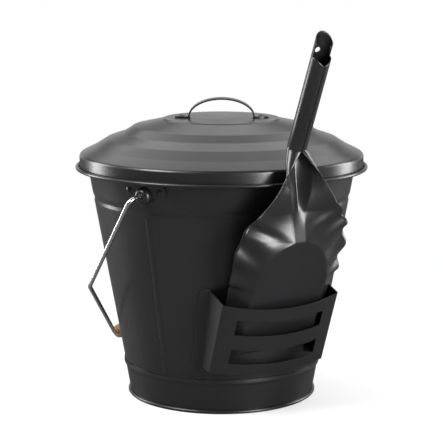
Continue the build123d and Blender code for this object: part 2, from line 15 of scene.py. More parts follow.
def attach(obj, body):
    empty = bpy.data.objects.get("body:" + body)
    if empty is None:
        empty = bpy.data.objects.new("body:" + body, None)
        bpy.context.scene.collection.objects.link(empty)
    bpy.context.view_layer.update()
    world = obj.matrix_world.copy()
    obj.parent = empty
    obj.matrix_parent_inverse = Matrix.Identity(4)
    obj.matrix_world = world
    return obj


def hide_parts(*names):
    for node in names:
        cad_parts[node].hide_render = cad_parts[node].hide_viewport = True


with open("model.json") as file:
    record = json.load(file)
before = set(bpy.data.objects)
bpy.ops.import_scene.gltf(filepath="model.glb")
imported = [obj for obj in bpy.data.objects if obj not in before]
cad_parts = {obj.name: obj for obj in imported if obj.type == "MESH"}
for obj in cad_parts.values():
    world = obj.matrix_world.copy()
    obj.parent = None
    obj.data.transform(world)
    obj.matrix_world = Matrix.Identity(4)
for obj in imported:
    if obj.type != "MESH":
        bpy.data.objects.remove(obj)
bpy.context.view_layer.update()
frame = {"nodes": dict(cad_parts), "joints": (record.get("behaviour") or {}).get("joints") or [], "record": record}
print("frame nodes:", sorted(frame["nodes"]))

# %% [markdown]
# ## Sizes
# A sheet metal bucket is read from a few sizes: the rim, the slope of the wall and
# the sheet's thickness. They are written once, in millimetres as on a drawing, and
# turned into metres by the factor `MM`.

# %% Driving sizes
MM = 0.001
RIM_RADIUS = 175.0
BASE_RADIUS = 110.2
LEDGE_HEIGHT = 274.4
LEDGE_WIDTH = 15.4
SHEET = 1.0
SEAT = 0.2
RIM_BEAD = 2.1
SLOPE = (RIM_RADIUS - LEDGE_WIDTH - BASE_RADIUS) / LEDGE_HEIGHT
TAPER = atan2(SLOPE, 1)
EAR_HEIGHT = 260.0
BEAD_WRAP = 290.0
BEAD_STEPS = 28
LEAST_BEND = 0.15
WELD = 1e-6
print("wall slope", round(SLOPE, 4))


def wall_radius(z):
    """Outer radius of the wall at a height, in millimetres."""
    return BASE_RADIUS + SLOPE * z


# %% [markdown]
# ## Helpers for bent sheet
# A bend in sheet is an arc, so a profile is a list of corners with a radius at each.
# `rounded` turns the corners into short arcs. `sheet_outline` shifts the same corners
# sideways by the sheet's thickness, which gives the closed outline of the cut sheet.

# %% Profile helpers
def unit(a, b):
    """Direction from one point to another, with a length of 1."""
    run = hypot(b[0] - a[0], b[1] - a[1])
    return ((b[0] - a[0]) / run, (b[1] - a[1]) / run)


def rounded(points, bends, steps=6):
    """Corner points with an arc of the given radius at each inner corner."""
    path = [points[0]]
    for before, corner, after, bend in zip(points, points[1:], points[2:], bends):
        to_corner = unit(before, corner)
        from_corner = unit(corner, after)
        turn = atan2(
            to_corner[0] * from_corner[1] - to_corner[1] * from_corner[0],
            to_corner[0] * from_corner[0] + to_corner[1] * from_corner[1],
        )
        if abs(turn) < 1e-4 or bend <= 0:
            path.append(corner)
            continue
        cut = bend * abs(sin(turn / 2) / cos(turn / 2))
        start = (corner[0] - to_corner[0] * cut, corner[1] - to_corner[1] * cut)
        side = 1 if turn > 0 else -1
        centre = (start[0] - to_corner[1] * bend * side, start[1] + to_corner[0] * bend * side)
        first = atan2(start[1] - centre[1], start[0] - centre[0])
        for step in range(steps + 1):
            angle = first + turn * step / steps
            path.append((centre[0] + bend * cos(angle), centre[1] + bend * sin(angle)))
    return path + [points[-1]]


def sheet_outline(points, bends, thickness, bead=0.0):
    """Closed outline of a sheet to the left of its corners, with a rolled end."""
    sides = [(-unit(a, b)[1], unit(a, b)[0]) for a, b in zip(points, points[1:])]
    moved = [(points[0][0] + sides[0][0] * thickness, points[0][1] + sides[0][1] * thickness)]
    moved_bends = []
    for point, before, after, bend in zip(points[1:-1], sides, sides[1:], bends):
        share = thickness / (1 + before[0] * after[0] + before[1] * after[1])
        shift = ((before[0] + after[0]) * share, (before[1] + after[1]) * share)
        moved.append((point[0] + shift[0], point[1] + shift[1]))
        turns_left = before[0] * after[1] - before[1] * after[0] > 0
        moved_bends.append(max(bend - thickness, LEAST_BEND) if turns_left else bend + thickness)
    end = (points[-1][0] + sides[-1][0] * thickness, points[-1][1] + sides[-1][1] * thickness)
    near = rounded(points, bends)
    far = rounded(moved + [end], moved_bends)
    if bead:
        centre = (points[-1][0] + sides[-1][0] * bead, points[-1][1] + sides[-1][1] * bead)
        first = atan2(-sides[-1][1], -sides[-1][0])
        wrap = radians(BEAD_WRAP)
        turns = [first + wrap * step / BEAD_STEPS for step in range(1, BEAD_STEPS + 1)]
        near += [(centre[0] + bead * cos(a), centre[1] + bead * sin(a)) for a in turns]
        inner = bead - thickness
        far += [(centre[0] + inner * cos(a), centre[1] + inner * sin(a)) for a in turns]
    return near + far[::-1]


# %% [markdown]
# ## Helpers for meshes
# Round pieces are spun: one outline is turned a full circle round the axis. Tubes
# and wires are swept: a ring of points follows a path.

# %% Mesh helpers
def add_piece(name, mesh_data, body, replaces, sharp=35.0):
    """Mesh data into a named object that rides on a body and stands for CAD nodes."""
    mesh = bpy.data.meshes.new(name)
    mesh_data.normal_update()
    mesh_data.to_mesh(mesh)
    mesh_data.free()
    piece = bpy.data.objects.new(name, mesh)
    bpy.context.scene.collection.objects.link(piece)
    mesh.shade_smooth()
    mesh.set_sharp_from_angle(angle=radians(sharp))
    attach(piece, body)
    if replaces:
        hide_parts(*replaces)
    print(name, len(mesh.vertices), "vertices")
    return piece


def join_rows(made, rows, closed):
    """Faces between neighbouring rows of points; closed rows also join end to start."""
    for low, high in zip(rows, rows[1:]):
        for step in range(len(low) if closed else len(low) - 1):
            turn = (step + 1) % len(low)
            made.faces.new((low[step], low[turn], high[turn], high[step]))


def spun(outline, steps=192):
    """Mesh of a closed outline in radius and height, in millimetres, turned round Z."""
    made = bmesh.new()
    ring = [made.verts.new((max(x, 0) * MM, 0, z * MM)) for x, z in outline]
    edges = [made.edges.new((a, b)) for a, b in zip(ring, ring[1:] + ring[:1])]
    bmesh.ops.spin(
        made, geom=ring + edges, cent=(0, 0, 0), axis=(0, 0, 1),
        angle=2 * pi, steps=steps, use_merge=True,
    )
    bmesh.ops.remove_doubles(made, verts=made.verts, dist=WELD)
    bmesh.ops.recalc_face_normals(made, faces=made.faces)
    return made


def swept(path, radius, sides=24):
    """Mesh of a round wire along a path of points in metres."""
    made = bmesh.new()
    rings = []
    side = None
    for index, point in enumerate(path):
        before = path[max(index - 1, 0)]
        after = path[min(index + 1, len(path) - 1)]
        along = (after - before).normalized()
        side = (side or along.orthogonal()).cross(along).cross(along).normalized() * -1
        other = along.cross(side)
        ring = []
        for step in range(sides):
            angle = 2 * pi * step / sides
            ring.append(made.verts.new(point + (side * cos(angle) + other * sin(angle)) * radius))
        rings.append(ring)
    join_rows(made, rings, closed=True)
    made.faces.new(rings[0][::-1])
    made.faces.new(rings[-1])
    bmesh.ops.recalc_face_normals(made, faces=made.faces)
    return made


# %% [markdown]
# ## Bucket wall
# The wall is one cone of sheet. Near its top runs a pressed groove that stiffens it,
# then the sheet turns out into a narrow ledge and is rolled over a wire. Spinning the
# cut outline keeps all of that in one closed piece.

# %% Wall
GROOVE_HEIGHT = 241.5
GROOVE_HALF = 5.0
GROOVE_DEPTH = 1.2
RING_TOP = 42.0
FLOOR_HEIGHT = 36.0
FLOOR_FLANGE = 11.0
RING_STAND_OUT = 0.5


def ring_inner(z):
    """Inner radius of the foot ring at a height."""
    return wall_radius(z) + RING_STAND_OUT - SHEET


wall_low = FLOOR_HEIGHT - FLOOR_FLANGE + SEAT
wall_corners = [
    (ring_inner(wall_low) - SEAT, wall_low),
    (ring_inner(FLOOR_HEIGHT) - SEAT, FLOOR_HEIGHT - SEAT),
    (wall_radius(RING_TOP), RING_TOP),
    (wall_radius(GROOVE_HEIGHT - GROOVE_HALF), GROOVE_HEIGHT - GROOVE_HALF),
    (wall_radius(GROOVE_HEIGHT) - GROOVE_DEPTH, GROOVE_HEIGHT),
    (wall_radius(GROOVE_HEIGHT + GROOVE_HALF), GROOVE_HEIGHT + GROOVE_HALF),
    (wall_radius(LEDGE_HEIGHT), LEDGE_HEIGHT),
    (RIM_RADIUS - RIM_BEAD, LEDGE_HEIGHT),
]
wall_bends = [1.2, 1.2, 6.0, 6.0, 6.0, 3.0]
wall = add_piece(
    "Bucket_wall_sheet", spun(sheet_outline(wall_corners, wall_bends, SHEET, RIM_BEAD)),
    "bucket", ["bucket_wall"],
)

# %% [markdown]
# ## Foot ring
# The foot is a separate band. Its upper edge is a raised bead, and its lower edge is
# rolled out so that no raw edge touches the hearth.

# %% Foot ring
FOOT_BEAD = 2.1
RING_BEAD_HEIGHT = 38.0
RING_BEAD_RAISE = 1.5
RING_BEAD_FOOT = 3
RING_BENDS = [1.4, 1.4]
FOOT_SINK = 0.1
foot_low = FOOT_BEAD - FOOT_SINK + FOOT_BEAD * sin(TAPER)
ring_corners = [
    (wall_radius(RING_TOP) + SEAT, RING_TOP),
    (wall_radius(RING_BEAD_HEIGHT) + RING_BEAD_RAISE - SHEET + RING_STAND_OUT, RING_BEAD_HEIGHT),
    (ring_inner(RING_BEAD_HEIGHT - RING_BEAD_FOOT), RING_BEAD_HEIGHT - RING_BEAD_FOOT),
    (ring_inner(foot_low), foot_low),
]
foot = add_piece(
    "Foot_band", spun(sheet_outline(ring_corners, RING_BENDS, SHEET, FOOT_BEAD)),
    "bucket", ["foot_ring"],
)

# %% [markdown]
# ## Floor
# The floor pan is a flat disc with its edge turned down. Nobody sees much of it, but
# the lid lifts off, so it is there.

# %% Floor pan
PAN_BEND = 2.5
inset = 2 * SEAT + SHEET
pan_low = FLOOR_HEIGHT - FLOOR_FLANGE
pan_corners = [
    (ring_inner(pan_low) - inset, pan_low),
    (ring_inner(FLOOR_HEIGHT) - inset, FLOOR_HEIGHT),
    (0, FLOOR_HEIGHT),
]
pan = add_piece(
    "Floor_disc", spun(sheet_outline(pan_corners, [PAN_BEND], SHEET)),
    "bucket", ["floor_pan"],
)

# %% [markdown]
# ## Lid
# The lid is one stepped line turned round the axis: an upright skirt, a rounded
# shoulder, then bands and steps up to a flat crown. Each band is how far it runs
# inwards and how far it rises. The steps of a real lid are soft, so their bends are wide.

# %% Lid
LID_ROOM = 0.8
LID_GAP = 0.4
LID_RADIUS = RIM_RADIUS - 2 * RIM_BEAD - LID_ROOM
LID_BANDS = [
    (0, 16.5), (18.0, 8.8), (15.0, 9.4), (20.0, 6.8), (12.0, 7.8), (34.0, 7.4), (2.0, 1.5)
]
LID_BENDS = [5.0, 7.0, 7.0, 7.0, 7.0, 1.2, 1.2]
lid_corners = [(LID_RADIUS, LEDGE_HEIGHT + SHEET + LID_GAP)]
for inwards, rise in LID_BANDS:
    radius, height = lid_corners[-1]
    lid_corners.append((radius - inwards, height + rise))
LID_TOP = lid_corners[-1][1]
lid_corners.append((0, LID_TOP))
lid = add_piece(
    "Lid_sheet", spun(sheet_outline(lid_corners, LID_BENDS, SHEET)),
    "lid", ["lid_shell"],
)
print("lid top", round(LID_TOP, 1), "mm")

# %% [markdown]
# ## Bail
# The bail is one wire with two corners on each side. A path with rounded corners is
# made flat first and then tipped to the angle at which the grip rests on the wall.

# %% Bail wire
BAIL_DROP = 239.0
WIRE_RADIUS = 2.5
GRIP_RADIUS = 10.0
GRIP_CLEAR = 0.5
BAIL_BENDS = [9.0, 12.0, 8.0, 8.0, 12.0, 9.0]
reach = (wall_radius(EAR_HEIGHT) + (GRIP_RADIUS + GRIP_CLEAR) / cos(TAPER)) * cos(TAPER)
bail_angle = atan2(reach / BAIL_DROP, sqrt(1 - (reach / BAIL_DROP) ** 2)) - TAPER


def bail_point(across, drop):
    """Point of the tipped bail, in metres: across along the ears' axis, drop from it."""
    return Vector((across, drop * sin(bail_angle), EAR_HEIGHT - drop * cos(bail_angle))) * MM


half_bail = [(157.5, 0), (184.5, 0), (166.0, 133.0), (42.0, BAIL_DROP)]
bail_corners = [(-x, y) for x, y in half_bail] + half_bail[::-1]
bail_path = rounded(bail_corners, BAIL_BENDS, steps=12)
bail = add_piece(
    "Bail_steel_wire", swept([bail_point(x, y) for x, y in bail_path], WIRE_RADIUS * MM),
    "bail", ["bail_wire"],
)
print("bail hangs at", round(degrees(bail_angle), 1), "degrees")

# %% [markdown]
# ## Grip
# The grip is turned wood, a little fuller in the middle, with eased ends and a bore
# for the wire. A turned piece is spun, here round the X axis.

# %% Bail grip
GRIP_HALF = 36.0
GRIP_END = 8.4
BORE = 2.9
GRIP_EASE = 0.5
GRIP_FACE = 1.8
SWELL_SHORT = 1.5
SWELL_STEPS = 24
swell = []
for step in range(SWELL_STEPS + 1):
    share = step / SWELL_STEPS * 2 - 1
    swell_radius = GRIP_RADIUS - (GRIP_RADIUS - GRIP_END) * share * share
    swell.append((swell_radius, share * (GRIP_HALF - SWELL_SHORT)))
grip_outline = [
    (BORE, -GRIP_HALF), (GRIP_END - GRIP_FACE, -GRIP_HALF),
    (GRIP_END - GRIP_EASE, -GRIP_HALF + GRIP_EASE), *swell,
    (GRIP_END - GRIP_EASE, GRIP_HALF - GRIP_EASE), (GRIP_END - GRIP_FACE, GRIP_HALF),
    (BORE, GRIP_HALF),
]
grip_mesh = spun(grip_outline, 64)
grip_centre = bail_point(0, BAIL_DROP)
grip_mesh.transform(Matrix.Translation(grip_centre) @ Matrix.Rotation(radians(90), 4, "Y"))
grip = add_piece("Bail_wood_grip", grip_mesh, "grip", ["bail_grip"], sharp=60)

# %% [markdown]
# ## Shovel
# The shovel is one pressed sheet. Across it, the sheet is flat on the floor and turned
# up at the sides; at the top the same sheet is rolled into a tube with an open seam.
# Between them the two shapes are mixed, point by point, which gives the folded neck.
# The heel is pleated, because the flat sheet has nowhere else to go.

# %% Shovel sizes
FLOOR_LENGTH = 148.0
FLOOR_HALF = 47.0
FLOOR_ARCH = 60.0
FLOOR_TIP = 7.0
RIM_DEPTHS = [(0, 3.0), (60.0, 18.5)]
SHOVEL_THICK = 1.2
RIDGE_SLOPE = 0.622
NECK_END = 243.0
TUBE_MIDDLE = 10.4
TUBE_SLOPE = 0.04
TUBE_CLOSED = 0.988
MOUTH = 350.6
MOUTH_RISE = 7.0
TONGUE_TOP = 383.0
HANG_HOLE = 360.5
FORM_START = FLOOR_LENGTH + 8.0
PLEAT_START = 84.0
PLEAT_PITCH = 20.0
PLEATS = 4
PLEAT_END = PLEAT_START + PLEATS * PLEAT_PITCH
PLEAT_RAISE = 4.5
PLEAT_SPREAD = 24.0
PLEAT_WIDEN = 0.8
RIMS = [(0, 50.0), (60.0, 67.0), (133.0, 69.5), (163.0, 63.0), (217.0, 25.0), (NECK_END, 0)]


def smooth(value):
    """Soft start and end between 0 and 1."""
    value = min(max(value, 0), 1)
    return value * value * (3 - 2 * value)


def along(position, points):
    """Straight-line reading between points of position and value."""
    if position <= points[0][0]:
        return points[0][1]
    for (x0, y0), (x1, y1) in zip(points, points[1:]):
        if position <= x1:
            return y0 + (y1 - y0) * (position - x0) / (x1 - x0)
    return points[-1][1]


def ridge_depth(position):
    """Depth of the sheet's middle line, which climbs the neck and then runs up the tube."""
    if position <= NECK_END:
        return RIDGE_SLOPE * max(position - FLOOR_LENGTH, 0)
    return RIDGE_SLOPE * (NECK_END - FLOOR_LENGTH) - TUBE_SLOPE * (position - NECK_END)


def floor_half(position):
    """Half width of the flat floor, which closes in an arch at the heel."""
    into = (position - (FLOOR_LENGTH - FLOOR_ARCH)) / FLOOR_ARCH
    if into <= 0:
        return FLOOR_HALF
    return max(FLOOR_HALF * sqrt(max(1 - into * into, 0)), FLOOR_TIP)


def sheet_point(position, share):
    """Middle of the sheet at a place along the shovel and a share of -1 to 1 across."""
    size = abs(share)
    way = 1 if share >= 0 else -1
    rim = along(position, RIMS)
    depth = along(position, RIM_DEPTHS)
    far = ridge_depth(position)
    centre = min(far, depth)
    form = smooth((position - FORM_START) / (NECK_END - FORM_START))
    out = max(size - 0.5, 0) * 2
    pleat = 0
    fan = smooth((position - PLEAT_START) / (PLEAT_END - PLEAT_START))
    fold = position - PLEAT_SPREAD * out * fan
    if PLEAT_START < fold < PLEAT_END:
        pleat = PLEAT_RAISE * sin(pi * (fold - PLEAT_START) / PLEAT_PITCH) ** 2 * (1 - form)
    floor = floor_half(position)
    if position >= FLOOR_LENGTH:
        floor = min(floor, rim / 2)
    width = floor * min(size * 2, 1) + (rim - floor + pleat * PLEAT_WIDEN) * out
    drop = centre + (depth - centre - pleat) * out
    turn = pi * size * TUBE_CLOSED
    tube_width = TUBE_MIDDLE * sin(turn)
    tube_drop = far - TUBE_MIDDLE * (1 - cos(turn))
    lift = (far - (1 - form) * centre - form * far) * (1 - size) ** 2
    return way * (width + form * tube_width), (1 - form) * drop + form * tube_drop + lift


# %% Shovel pose
POCKET_DIRECTION = -120.0
SHOVEL_TURN = 2.5
SHOVEL_JOINT = next(joint for joint in frame["joints"] if joint["child"] == "shovel")
shovel_foot = Vector(SHOVEL_JOINT["pos_m"])
shovel_up = Vector(SHOVEL_JOINT["axis"]).normalized()
print("shovel stands along", tuple(round(v, 3) for v in shovel_up))

# %% [markdown]
# A slide joint already knows which way the shovel is drawn out, so the shovel's frame
# is built from that axis: `shovel_up` along the shovel, `shovel_side` across it, and
# `shovel_in` towards the bucket.

# %% Shovel frame
face_angle = radians(POCKET_DIRECTION + SHOVEL_TURN)
shovel_face = Vector((cos(face_angle), sin(face_angle), 0))
shovel_side = Vector((0, 0, 1)).cross(shovel_face)
shovel_side = (shovel_side - shovel_up * shovel_side.dot(shovel_up)).normalized()
shovel_in = shovel_up.cross(shovel_side)


def on_shovel(across, depth, position):
    """Point of the shovel's own frame, in millimetres, as a point of the scene."""
    return shovel_foot + (shovel_side * across + shovel_in * depth + shovel_up * position) * MM


def sheet_grid(made, starts, ends, shares, rows):
    """Rows of points between a start and an end for each share across the sheet."""
    grid = []
    for row in range(rows + 1):
        line = []
        for share, start, end in zip(shares, starts, ends):
            position = start + (end - start) * row / rows
            across, depth = sheet_point(position, share)
            line.append(made.verts.new(on_shovel(across, depth, position)))
        grid.append(line)
    join_rows(made, grid, closed=False)


def mouth_end(share):
    """Where a column of the grid meets the edge of the tube's mouth."""
    return MOUTH + MOUTH_RISE * abs(sin(pi * share * TUBE_CLOSED))


def tongue_end(share):
    """Where a column of the grid meets the round edge of the tongue."""
    across = sin(pi * share * TUBE_CLOSED)
    return TONGUE_TOP - TUBE_MIDDLE * (1 - sqrt(max(1 - across ** 2, 0)))


# %% [markdown]
# The tube ends in a V-shaped mouth in front and a round tongue behind. Each column of
# the grid simply stops at its own height, so both edges come out clean.

# %% Shovel sheet
COLUMNS = 64
BLADE_ROWS = 230
TONGUE_ROWS = 22
shares = [-1 + 2 * column / COLUMNS for column in range(COLUMNS + 1)]
mouth_ends = [mouth_end(share) for share in shares]
shovel_mesh = bmesh.new()
sheet_grid(shovel_mesh, [0] * len(shares), mouth_ends, shares, BLADE_ROWS)
back = [share for share in shares if abs(share) <= 0.5]
back_starts = [mouth_end(share) for share in back]
tongue_ends = [tongue_end(share) for share in back]
sheet_grid(shovel_mesh, back_starts, tongue_ends, back, TONGUE_ROWS)
bmesh.ops.remove_doubles(shovel_mesh, verts=shovel_mesh.verts, dist=WELD)
bmesh.ops.recalc_face_normals(shovel_mesh, faces=shovel_mesh.faces)
shovel = add_piece("Shovel_sheet", shovel_mesh, "shovel", ["shovel"], sharp=60)
thick = shovel.modifiers.new("Sheet", "SOLIDIFY")
thick.thickness = SHOVEL_THICK * MM
thick.offset = 0

# %% [markdown]
# The hanging hole is cut with a Boolean, which needs a second object as its tool. The
# result is read back as a plain mesh, so the tool and the modifiers can go.

# %% Hanging hole
HANG_RADIUS = 3.2
HANG_REACH = 5.0
HANG_SIDES = 40
hole_middle = ridge_depth(HANG_HOLE)
hole_tool = bmesh.new()
hole_rings = []
for depth in (hole_middle - HANG_REACH, hole_middle + HANG_REACH):
    ring = []
    for step in range(HANG_SIDES):
        angle = 2 * pi * step / HANG_SIDES
        across, height = HANG_RADIUS * cos(angle), HANG_RADIUS * sin(angle)
        ring.append(hole_tool.verts.new(on_shovel(across, depth, HANG_HOLE + height)))
    hole_rings.append(ring)
join_rows(hole_tool, hole_rings, closed=True)
for ring in hole_rings:
    hole_tool.faces.new(ring)
bmesh.ops.recalc_face_normals(hole_tool, faces=hole_tool.faces)
hole_data = bpy.data.meshes.new("Hole tool")
hole_tool.to_mesh(hole_data)
hole_tool.free()
hole_object = bpy.data.objects.new("Hole tool", hole_data)
bpy.context.scene.collection.objects.link(hole_object)
cut = shovel.modifiers.new("Hanging hole", "BOOLEAN")
cut.operation = "DIFFERENCE"
cut.solver = "EXACT"
cut.object = hole_object
whole_shovel = shovel.evaluated_get(bpy.context.evaluated_depsgraph_get())
cut_shovel = bpy.data.meshes.new_from_object(whole_shovel)
shovel.modifiers.clear()
shovel.data = cut_shovel
bpy.data.objects.remove(hole_object)
print("shovel faces after the cut:", len(shovel.data.polygons))

# %% [markdown]
# ## Lid handle
# The handle is a strap bent into an arch. Its two ends are cut to a leaf shape and rest
# flat on the lid, where they would be riveted; the rivets are not drawn.
# It is drawn as a row of cross sections along the arch.

# %% Lid handle
LID_TURN = -57.0
STRAP_HALF = 38.0
STRAP_RISE = 23.5
STRAP_WIDTH = 19.0
STRAP_THICK = 1.8
STRAP_FOOT = 19.0
FOOT_STEPS = 12
ARCH_STEPS = 48
LEAF_END = 0.02
STRAP_EASE = 0.5
strap_seat = LID_TOP + SEAT + STRAP_THICK / 2
strap_line = []
for step in range(FOOT_STEPS + 1):
    strap_line.append((-STRAP_HALF - STRAP_FOOT * (1 - step / FOOT_STEPS), strap_seat))
for step in range(1, ARCH_STEPS):
    angle = pi - pi * step / ARCH_STEPS
    strap_line.append((
        (STRAP_HALF + STRAP_THICK / 2) * cos(angle),
        strap_seat + (STRAP_RISE - STRAP_THICK) * sin(angle),
    ))
strap_line += [(-x, z) for x, z in strap_line[FOOT_STEPS::-1]]
strap = bmesh.new()
strap_rows = []
for index, (x, z) in enumerate(strap_line):
    before = strap_line[max(index - 1, 0)]
    after = strap_line[min(index + 1, len(strap_line) - 1)]
    line = unit(before, after)
    beyond = max(abs(x) - STRAP_HALF, 0) / STRAP_FOOT
    half_width = STRAP_WIDTH / 2 * sqrt(max(1 - min(beyond, 1) ** 2, LEAF_END))
    row = []
    for way, level in ((-1, -1), (1, -1), (1, 1), (-1, 1)):
        shift = level * STRAP_THICK / 2
        corner = Vector((x - line[1] * shift, way * half_width, z + line[0] * shift))
        row.append(strap.verts.new(corner * MM))
    strap_rows.append(row)
join_rows(strap, strap_rows, closed=True)
strap.faces.new(strap_rows[0][::-1])
strap.faces.new(strap_rows[-1])
bmesh.ops.recalc_face_normals(strap, faces=strap.faces)
strap.transform(Matrix.Rotation(radians(LID_TURN), 4, "Z"))
handle = add_piece("Lid_strap_handle", strap, "lid", ["lid_handle"], sharp=40)
edge = handle.modifiers.new("Eased edges", "BEVEL")
edge.width = STRAP_EASE * MM
edge.segments = 2
edge.limit_method = "ANGLE"

# %% [markdown]
# ## Side seam
# The cone is closed by a lock seam: the two edges of the sheet are hooked together
# and pressed flat, which leaves a low raised strip up the wall under the left ear.

# %% Side seam
SEAM_WIDTH = 7.0
SEAM_RAISE = 0.5
SEAM_LOW = 46.0
SEAM_HIGH = 234.0
SEAM_STEPS = 40
SEAM_SECTION = [(-0.5, 0.02), (-0.38, 1), (0.38, 1), (0.5, 0.02)]
seam = bmesh.new()
seam_rows = []
for step in range(SEAM_STEPS + 1):
    z = SEAM_LOW + (SEAM_HIGH - SEAM_LOW) * step / SEAM_STEPS
    row = []
    for across, raised in SEAM_SECTION:
        radius = wall_radius(z) + SEAM_RAISE * raised
        angle = pi + across * SEAM_WIDTH / radius
        row.append(seam.verts.new(Vector((radius * cos(angle), radius * sin(angle), z)) * MM))
    seam_rows.append(row)
join_rows(seam, seam_rows, closed=False)
seam_piece = add_piece("Side_seam", seam, "bucket", [], sharp=60)

# %% [markdown]
# ## The sprayed surface
# Sprayed paint has two effects: a fine orange peel, and a broad unevenness of the gloss
# where hands and ash have been. One node group makes both and puts out a normal and a
# roughness, so any material can take them.

# %% Node helpers
def node(tree, kind, place):
    """A node of a kind, laid out at a place in the node editor."""
    made = tree.nodes.new(kind)
    made.location = place
    return made


def paint_surface_group():
    """Group: scale, strength and gloss limits in, normal and roughness out."""
    tree = bpy.data.node_groups.new("Sprayed paint surface", "ShaderNodeTree")
    face = tree.interface
    for name, value in (
        ("Scale", 900.0), ("Strength", 0.08), ("Gloss low", 0.26), ("Gloss high", 0.36)
    ):
        socket = face.new_socket(name=name, in_out="INPUT", socket_type="NodeSocketFloat")
        socket.default_value = value
    face.new_socket(name="Normal", in_out="OUTPUT", socket_type="NodeSocketVector")
    face.new_socket(name="Roughness", in_out="OUTPUT", socket_type="NodeSocketFloat")
    given = node(tree, "NodeGroupInput", (-900, 0))
    out = node(tree, "NodeGroupOutput", (600, 0))
    place = node(tree, "ShaderNodeTexCoord", (-900, -260))
    peel = node(tree, "ShaderNodeTexNoise", (-500, 120))
    peel.inputs["Detail"].default_value = 2.0
    broad = node(tree, "ShaderNodeTexNoise", (-500, -260))
    broad.inputs["Scale"].default_value = 9.0
    broad.inputs["Detail"].default_value = 5.0
    bump = node(tree, "ShaderNodeBump", (200, 120))
    bump.inputs["Distance"].default_value = 0.0002
    spread = node(tree, "ShaderNodeMapRange", (200, -260))
    spread.inputs["From Min"].default_value = 0.3
    spread.inputs["From Max"].default_value = 0.7
    link = tree.links.new
    link(place.outputs["Object"], peel.inputs["Vector"])
    link(place.outputs["Object"], broad.inputs["Vector"])
    link(given.outputs["Scale"], peel.inputs["Scale"])
    link(peel.outputs["Fac"], bump.inputs["Height"])
    link(given.outputs["Strength"], bump.inputs["Strength"])
    link(broad.outputs["Fac"], spread.inputs["Value"])
    link(given.outputs["Gloss low"], spread.inputs["To Min"])
    link(given.outputs["Gloss high"], spread.inputs["To Max"])
    link(bump.outputs["Normal"], out.inputs["Normal"])
    link(spread.outputs["Result"], out.inputs["Roughness"])
    return tree


paint_surface = paint_surface_group()
print("group:", paint_surface.name)


# %% [markdown]
# ## Black paint
# The steel is sprayed satin black. Pure black would look like a hole, so the colour
# stays just above it, with a little variation, and the gloss does the rest.

# %% Materials
def new_material(name):
    """A material with its node tree and its Principled shader."""
    material = bpy.data.materials.new(name)
    material.use_nodes = True
    tree = material.node_tree
    return material, tree, tree.nodes["Principled BSDF"]


def mixed_colour(tree, factor, first, second):
    """Colour node between two colours by a factor socket."""
    mix = node(tree, "ShaderNodeMix", (-300, 300))
    mix.data_type = "RGBA"
    mix.inputs["A"].default_value = (*first, 1)
    mix.inputs["B"].default_value = (*second, 1)
    tree.links.new(factor, mix.inputs["Factor"])
    return mix.outputs["Result"]


def painted(name, first, second, strength):
    """Paint that wanders between two colours, with the sprayed surface."""
    material, tree, shader = new_material(name)
    surface = node(tree, "ShaderNodeGroup", (-500, -200))
    surface.node_tree = paint_surface
    surface.inputs["Strength"].default_value = strength
    place = node(tree, "ShaderNodeTexCoord", (-900, 300))
    cloud = node(tree, "ShaderNodeTexNoise", (-700, 300))
    cloud.inputs["Scale"].default_value = 14.0
    tree.links.new(place.outputs["Object"], cloud.inputs["Vector"])
    colour = mixed_colour(tree, cloud.outputs["Fac"], first, second)
    tree.links.new(colour, shader.inputs["Base Color"])
    tree.links.new(surface.outputs["Normal"], shader.inputs["Normal"])
    tree.links.new(surface.outputs["Roughness"], shader.inputs["Roughness"])
    return material


black = painted("Satin black paint", (0.006, 0.006, 0.0065), (0.010, 0.010, 0.011), 0.10)
print("made", black.name)

# %% [markdown]
# ## Bright wire, grip wood and hidden wire
# The bail is drawn steel with a bright finish, so its streaks run along the wire. The
# grip is wood: rings stretched along its length give the grain.

# %% Wire and wood
def metal(name, colour, roughness, streak):
    """Drawn metal whose streaks are stretched by a scale for each axis."""
    material, tree, shader = new_material(name)
    place = node(tree, "ShaderNodeTexCoord", (-900, 0))
    stretch = node(tree, "ShaderNodeMapping", (-700, 0))
    stretch.inputs["Scale"].default_value = streak
    grain = node(tree, "ShaderNodeTexNoise", (-500, 0))
    grain.inputs["Scale"].default_value = 300.0
    spread = node(tree, "ShaderNodeMapRange", (-250, -100))
    spread.inputs["To Min"].default_value = roughness * 0.8
    spread.inputs["To Max"].default_value = roughness * 1.3
    shader.inputs["Metallic"].default_value = 1.0
    link = tree.links.new
    link(place.outputs["Object"], stretch.inputs["Vector"])
    link(stretch.outputs["Vector"], grain.inputs["Vector"])
    link(grain.outputs["Fac"], spread.inputs["Value"])
    link(spread.outputs["Result"], shader.inputs["Roughness"])
    darker = tuple(value * 0.82 for value in colour)
    link(mixed_colour(tree, grain.outputs["Fac"], colour, darker), shader.inputs["Base Color"])
    return material


bright = metal("Bright drawn wire", (0.78, 0.78, 0.79), 0.2, (0.1, 1.0, 1.0))
hidden = metal("Plain drawn wire", (0.4, 0.4, 0.41), 0.4, (1.0, 1.0, 0.2))


